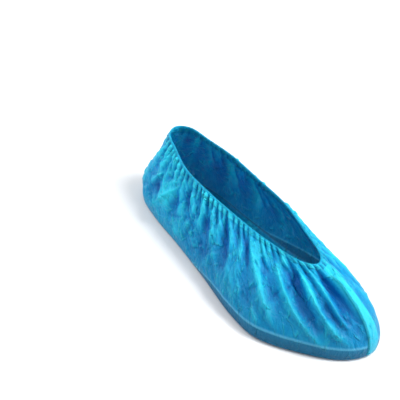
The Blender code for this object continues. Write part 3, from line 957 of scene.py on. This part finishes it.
class SHOECOVER_OT_hem(Operator):
    """Builds the hem, folded over the elastic and gathered by it"""

    bl_idname = "shoe_cover.hem"
    bl_label = "Hem"

    def execute(self, context):
        film = context.scene.shoe_cover_film
        wall = Wall(film)
        up = np.linspace(film.hem_width, HEM_OUTSIDE_STARTS, HEM_OUTSIDE_ROWS)
        down = np.linspace(HEM_INSIDE_STARTS, film.hem_width, HEM_INSIDE_ROWS)
        profile = [(d, HEM_OUTSIDE) for d in up] + HEM_TURN + [(d, HEM_INSIDE) for d in down]
        points = [wall.at(d, wall.lift(max(d, 0.0)) + off) for d, off in profile]
        # The gathers are painted lighter on their tops, as painted highlight, and darker between, as
        # painted shade.
        shading_relief = [0.55 + wall.gather(max(d, 0.0)) / (2.4 * film.gather_depth) for d, _ in profile]
        bm = shaped_sheet(np.stack(points, axis=1), np.stack(shading_relief, axis=1))
        material = film_material(film, "Folded polyethylene film", 0.04)
        finish_piece(bm, "gathered_hem", material, ["elastic_hem"], film.thickness, 1)
        return {"FINISHED"}


class SHOECOVER_OT_elastic(Operator):
    """Builds the elastic thread in the hem's fold"""

    bl_idname = "shoe_cover.elastic"
    bl_label = "Elastic"

    def execute(self, context):
        wall = Wall(context.scene.shoe_cover_film)
        (down, out), (half_down, half_out) = ELASTIC_MIDDLE, ELASTIC_HALF_SIZES
        turns = np.linspace(0, 2 * math.pi, 11)
        profile = [(down + half_down * math.cos(t), out + half_out * math.sin(t)) for t in turns]
        flutter = ELASTIC_FLUTTER * sway(wall.place, 37)
        bm = shaped_sheet(np.stack([wall.at(d, off + flutter) for d, off in profile], axis=1))
        finish_piece(bm, "elastic_thread", elastic_material(), ["elastic_band"])
        return {"FINISHED"}


def weld_lines(wall, column):
    """A weld's places below the rim, down one column, with its points, its way across and its way out."""
    places = WELD_STARTS + (wall.length[column] - WELD_SHORTER) * np.linspace(0, 1, WELD_ROWS)
    line = np.array([wall.at(d, wall.lift(d))[column] for d in places])
    along = np.gradient(line, axis=0)
    along /= np.linalg.norm(along, axis=1)[:, None]
    side = wall.points[(column + 1) % wall.count, 0] - wall.points[column - 1, 0]
    side = side - along * (along @ side)[:, None]
    side /= np.linalg.norm(side, axis=1)[:, None]
    out = np.cross(along, side)
    out *= np.sign(out[:, 2].sum() + out[:, 0].sum() * np.sign(line[0, 0]))
    return places, line, side, out


def weld_strip(wall, column):
    """A pressed weld as a narrow strip that follows the film down one column."""
    places, line, side, out = weld_lines(wall, column)
    bm = bmesh.new()
    bm.loops.layers.uv.new("sheet")
    bmesh.ops.create_grid(
        bm, x_segments=WELD_COLUMNS - 1, y_segments=WELD_ROWS - 1, size=0.5, calc_uvs=True
    )
    high = bm.verts.layers.float.new("shading_relief")
    down = bm.verts.layers.float.new("fall")
    for vert in bm.verts:
        off, j = vert.co.x * 2, round((0.5 - vert.co.y) * (WELD_ROWS - 1))
        rib = RIB_HEIGHT * math.cos(2 * math.pi * places[j] / RIB_PITCH) * (1 - abs(off))
        height = WELD_BASE + WELD_RISE * math.exp(-((off / WELD_RISE_WIDTH) ** 2)) + rib
        vert.co = Vector(line[j] + side[j] * off * WELD_HALF_WIDTH + out[j] * height)
        # Each rib is painted lighter on its top and darker between, as painted highlight and shade.
        vert[high] = WELD_RELIEF + rib * RIB_PAINTED_SHADING
        vert[down] = WELD_FALL * places[j] / wall.length[column]
    return bm


class SHOECOVER_OT_welds(Operator):
    """Builds the pressed welds at the toe and the heel"""

    bl_idname = "shoe_cover.welds"
    bl_label = "Welds"

    def execute(self, context):
        film = context.scene.shoe_cover_film
        wall = Wall(film)
        material = film_material(film, "Welded polyethylene film", 0.06)
        for name, stands_for, column in (
            ("toe_seam", "toe_weld", 0),
            ("heel_seam", "heel_weld", wall.count // 2),
        ):
            bm = weld_strip(wall, column)
            finish_piece(bm, name, material, [stands_for], film.thickness * 2, 0)
        return {"FINISHED"}


class SHOECOVER_OT_stage(Operator):
    """Sets the floor, the light and the camera"""

    bl_idname = "shoe_cover.stage"
    bl_label = "Stage"

    def execute(self, context):
        stage = context.scene.shoe_cover_stage
        a, e, roll = (math.radians(x) for x in (stage.azimuth, stage.elevation, stage.roll))
        back = Vector((math.sin(a) * math.cos(e), -math.cos(a) * math.cos(e), math.sin(e)))
        right = Vector((math.cos(a), math.sin(a), 0.0))
        up = back.cross(right)
        turned_right = right * math.cos(roll) + up * math.sin(roll)
        turned_up = up * math.cos(roll) - right * math.sin(roll)
        turn = Matrix((turned_right, turned_up, back)).transposed()
        camera = bpy.data.objects.new("Camera", bpy.data.cameras.new("Camera"))
        camera.data.lens = stage.lens
        camera.data.sensor_width = 36.0
        camera.data.clip_start = 0.05
        shift = Vector(Wall(context.scene.shoe_cover_film).shift)
        place = shift - turn @ Vector(stage.origin_in_view)
        camera.matrix_world = Matrix.Translation(place) @ turn.to_4x4()
        context.scene.collection.objects.link(camera)
        context.scene.camera = camera

        bm = bmesh.new()
        bmesh.ops.create_grid(bm, x_segments=1, y_segments=1, size=FLOOR_HALF_SIZE)
        mesh = bpy.data.meshes.new("Floor")
        bm.to_mesh(mesh)
        bm.free()
        material, _, shader = new_material("White paper")
        shader.inputs["Base Color"].default_value = linear("#e0e1e3")
        shader.inputs["Roughness"].default_value = 0.9
        shader.inputs["Specular IOR Level"].default_value = 0.1
        mesh.materials.append(material)
        floor = bpy.data.objects.new("Floor", mesh)
        floor.location.z = FLOOR_HEIGHT
        context.scene.collection.objects.link(floor)

        world = bpy.data.worlds.new("Studio")
        world.use_nodes = True
        background = world.node_tree.nodes["Background"]
        background.inputs["Color"].default_value = (1.0, 1.0, 1.0, 1.0)
        background.inputs["Strength"].default_value = SKY_STRENGTH
        context.scene.world = world
        for name, place, size, power in LIGHTS:
            light = bpy.data.lights.new(name, "AREA")
            light.energy = power
            light.size = size
            lamp = bpy.data.objects.new(name, light)
            lamp.location = place
            lamp.rotation_mode = "QUATERNION"
            lamp.rotation_quaternion = (-Vector(place)).to_track_quat("-Z", "Y")
            context.scene.collection.objects.link(lamp)
        context.scene.view_settings.view_transform = "Standard"
        return {"FINISHED"}


class SHOECOVER_PT_panel(Panel):
    """The pieces, in the order they are made"""

    bl_label = "Shoe cover"
    bl_idname = "SHOECOVER_PT_panel"
    bl_space_type = "VIEW_3D"
    bl_region_type = "UI"
    bl_category = "Shoe cover"

    def draw(self, context):
        for operator in OPERATORS:
            self.layout.operator(operator.bl_idname)


OPERATORS = (
    SHOECOVER_OT_film,
    SHOECOVER_OT_hem,
    SHOECOVER_OT_elastic,
    SHOECOVER_OT_welds,
    SHOECOVER_OT_stage,
)
CLASSES = (FilmSettings, StageSettings, *OPERATORS, SHOECOVER_PT_panel)


def register():
    """Adds the settings, the operators and the panel to Blender."""
    for made in CLASSES:
        bpy.utils.register_class(made)
    bpy.types.Scene.shoe_cover_film = PointerProperty(type=FilmSettings)
    bpy.types.Scene.shoe_cover_stage = PointerProperty(type=StageSettings)


def unregister():
    """Takes them out again."""
    del bpy.types.Scene.shoe_cover_stage
    del bpy.types.Scene.shoe_cover_film
    for made in reversed(CLASSES):
        bpy.utils.unregister_class(made)


def main():
    """Builds the whole scene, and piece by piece."""
    register()
    bpy.ops.shoe_cover.stage()
    bpy.ops.shoe_cover.film()
    bpy.ops.shoe_cover.hem()
    bpy.ops.shoe_cover.elastic()
    bpy.ops.shoe_cover.welds()


if __name__ == "__main__":
    main()
